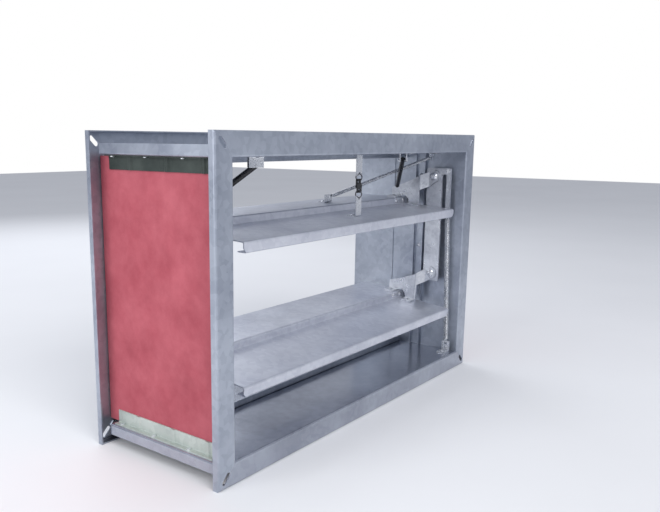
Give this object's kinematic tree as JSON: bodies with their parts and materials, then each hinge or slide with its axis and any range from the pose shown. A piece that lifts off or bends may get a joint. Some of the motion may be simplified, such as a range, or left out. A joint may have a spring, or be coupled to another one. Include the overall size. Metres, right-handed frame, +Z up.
{
  "type": "fire damper",
  "caption": "Rectangular duct fire damper: flanged steel casing with fire boards in the side recesses, folded blades on stub axles, link bar, springs and a fusible link.",
  "frame": {"origin": "centre of the footprint at the lower edges of the flanges", "axes": "+X across the duct, away from the plain end towards the link bar; +Y along the airflow, from the front flange with the fusible link to the rear flange; +Z up"},
  "size_m": [0.55, 0.19, 0.35],
  "materials": {
    "galvanised_steel": "zinc coated, satin",
    "blade_steel": "zinc coated, satin",
    "bright_steel": "bright zinc plated",
    "spring_steel": "bright zinc plated wire",
    "fire_board": "matte red",
    "strip_dark": "dark, satin",
    "strip_light": "zinc coated, dull",
    "black_coat": "gloss black",
    "bronze_bush": "sintered bronze",
    "solder": "dull solder",
    "dark_steel": "dark zinc"
  },
  "bodies": {
    "casing": {"top_wall": "galvanised_steel", "bottom_wall": "galvanised_steel", "left_wall": "galvanised_steel", "right_wall": "galvanised_steel", "left_seam_strip": "galvanised_steel", "right_seam_strip": "galvanised_steel", "top_stop": "galvanised_steel", "bottom_stop": "galvanised_steel", "left_jamb": "galvanised_steel", "right_jamb": "galvanised_steel", "corner_welds": "galvanised_steel", "left_fire_board": "fire_board", "right_fire_board": "fire_board", "top_board_strips": "strip_dark", "bottom_board_strips": "strip_light", "board_strip_rivets": "bright_steel", "jamb_rivets": "bright_steel", "ceiling_rivets": "bright_steel", "floor_rivets": "bright_steel", "right_rod_clip": "bright_steel", "left_rod_clip": "bright_steel", "rod_clip_pins": "bright_steel", "spring_anchor": "bright_steel", "link_ceiling_strap": "bright_steel", "assist_spring_bracket": "bright_steel", "right_stop_rod": "black_coat", "left_stop_rod": "black_coat", "fusible_link_upper_half": "black_coat", "upper_bushes": "bronze_bush", "lower_bushes": "bronze_bush", "upper_link_ring": "dark_steel", "link_solder": "solder", "closing_spring": "spring_steel", "assist_spring": "spring_steel"},
    "upper_blade": {"upper_blade": "blade_steel", "upper_left_axle": "bright_steel", "upper_right_axle": "bright_steel", "upper_spacers": "bright_steel", "upper_arm": "bright_steel", "upper_pivot_bolt": "bright_steel", "upper_pivot_washer": "bright_steel", "link_blade_strap": "bright_steel", "assist_spring_clip": "bright_steel", "upper_blade_rivets": "bright_steel", "upper_pivot_nut": "dark_steel", "lower_link_ring": "dark_steel", "fusible_link_lower_half": "black_coat"},
    "lower_blade": {"lower_blade": "blade_steel", "lower_left_axle": "bright_steel", "lower_right_axle": "bright_steel", "lower_spacers": "bright_steel", "lower_arm": "bright_steel", "lower_pivot_bolt": "bright_steel", "lower_pivot_washer": "bright_steel", "lower_blade_rivets": "bright_steel", "lower_pivot_nut": "dark_steel"},
    "link_bar": {"link_bar": "galvanised_steel", "spring_hanger": "galvanised_steel", "hanger_rivet": "bright_steel"}
  },
  "joints": [
    {"name": "upper_blade_hinge", "type": "hinge", "parent": "casing", "child": "upper_blade", "pos_m": [0, -0.007, 0.2525], "axis": [1, 0, 0], "range_deg": [0, 77.5], "deforming": ["closing_spring", "assist_spring"]},
    {"name": "lower_blade_hinge", "type": "hinge", "parent": "casing", "child": "lower_blade", "pos_m": [0, -0.007, 0.107], "axis": [1, 0, 0], "range_deg": [0, 77.5]},
    {"name": "link_bar_pivot", "type": "hinge", "parent": "upper_blade", "child": "link_bar", "pos_m": [0.2395, -0.051, 0.2895], "axis": [1, 0, 0], "range_deg": [-77.5, 0]}
  ],
  "couplings": [
    {"joint": "lower_blade_hinge", "follows": "upper_blade_hinge", "ratio": 1},
    {"joint": "link_bar_pivot", "follows": "upper_blade_hinge", "ratio": -1}
  ]
}
